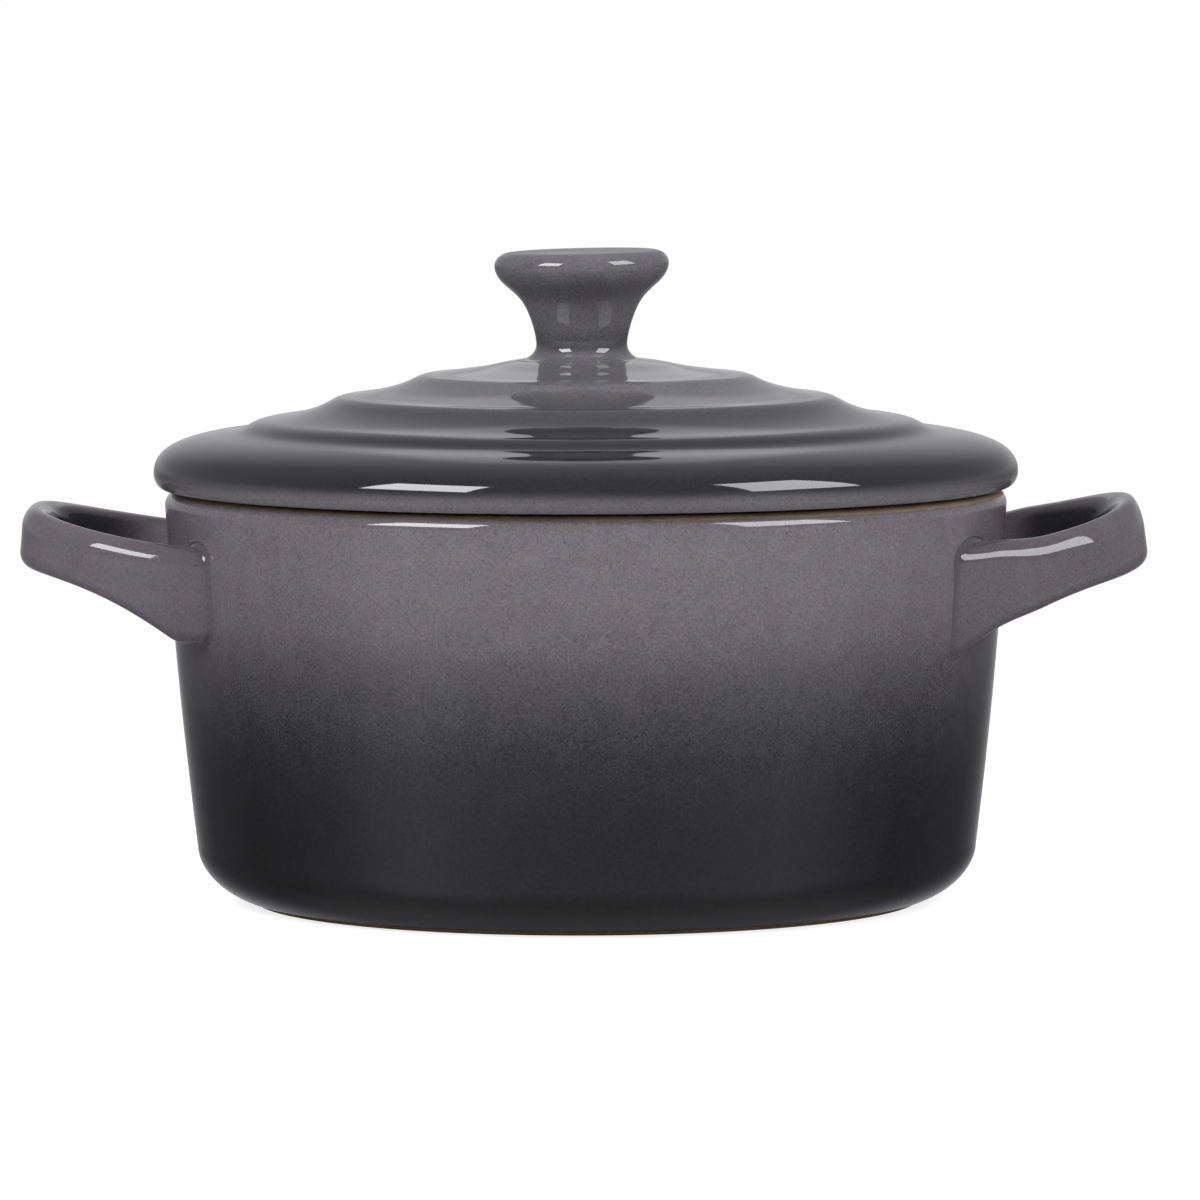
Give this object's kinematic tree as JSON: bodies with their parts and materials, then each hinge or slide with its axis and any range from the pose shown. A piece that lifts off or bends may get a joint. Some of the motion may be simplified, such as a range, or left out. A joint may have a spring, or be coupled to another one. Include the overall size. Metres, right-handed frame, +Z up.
{
  "type": "mini cocotte",
  "caption": "Small round glazed stoneware casserole pot with strap loop handles at its sides and a lift-off ringed lid with a flared knob, for baking and serving individual portions.",
  "frame": {"origin": "on the pot's turning axis, in the plane of the foot ring that it stands on", "axes": "+X along the two handles, +Y from the front to the back, +Z up"},
  "size_m": [0.1342, 0.1026, 0.0772],
  "materials": {
    "pot_glaze": "glossy mauve grey glaze, bare clay on the rim and the foot ring",
    "handle_glaze": "glossy mauve grey glaze",
    "lid_glaze": "glossy mauve grey glaze, bare clay on the seat",
    "knob_glaze": "glossy mauve grey glaze"
  },
  "bodies": {
    "pot": {"pot_body": "pot_glaze", "handle_left": "handle_glaze", "handle_right": "handle_glaze"},
    "lid": {"lid_shell": "lid_glaze", "lid_knob": "knob_glaze"}
  },
  "joints": [
    {"name": "lid_lift", "type": "slide", "parent": "pot", "child": "lid", "axis": [0, 0, 1], "range_m": [0, 0.1]}
  ]
}
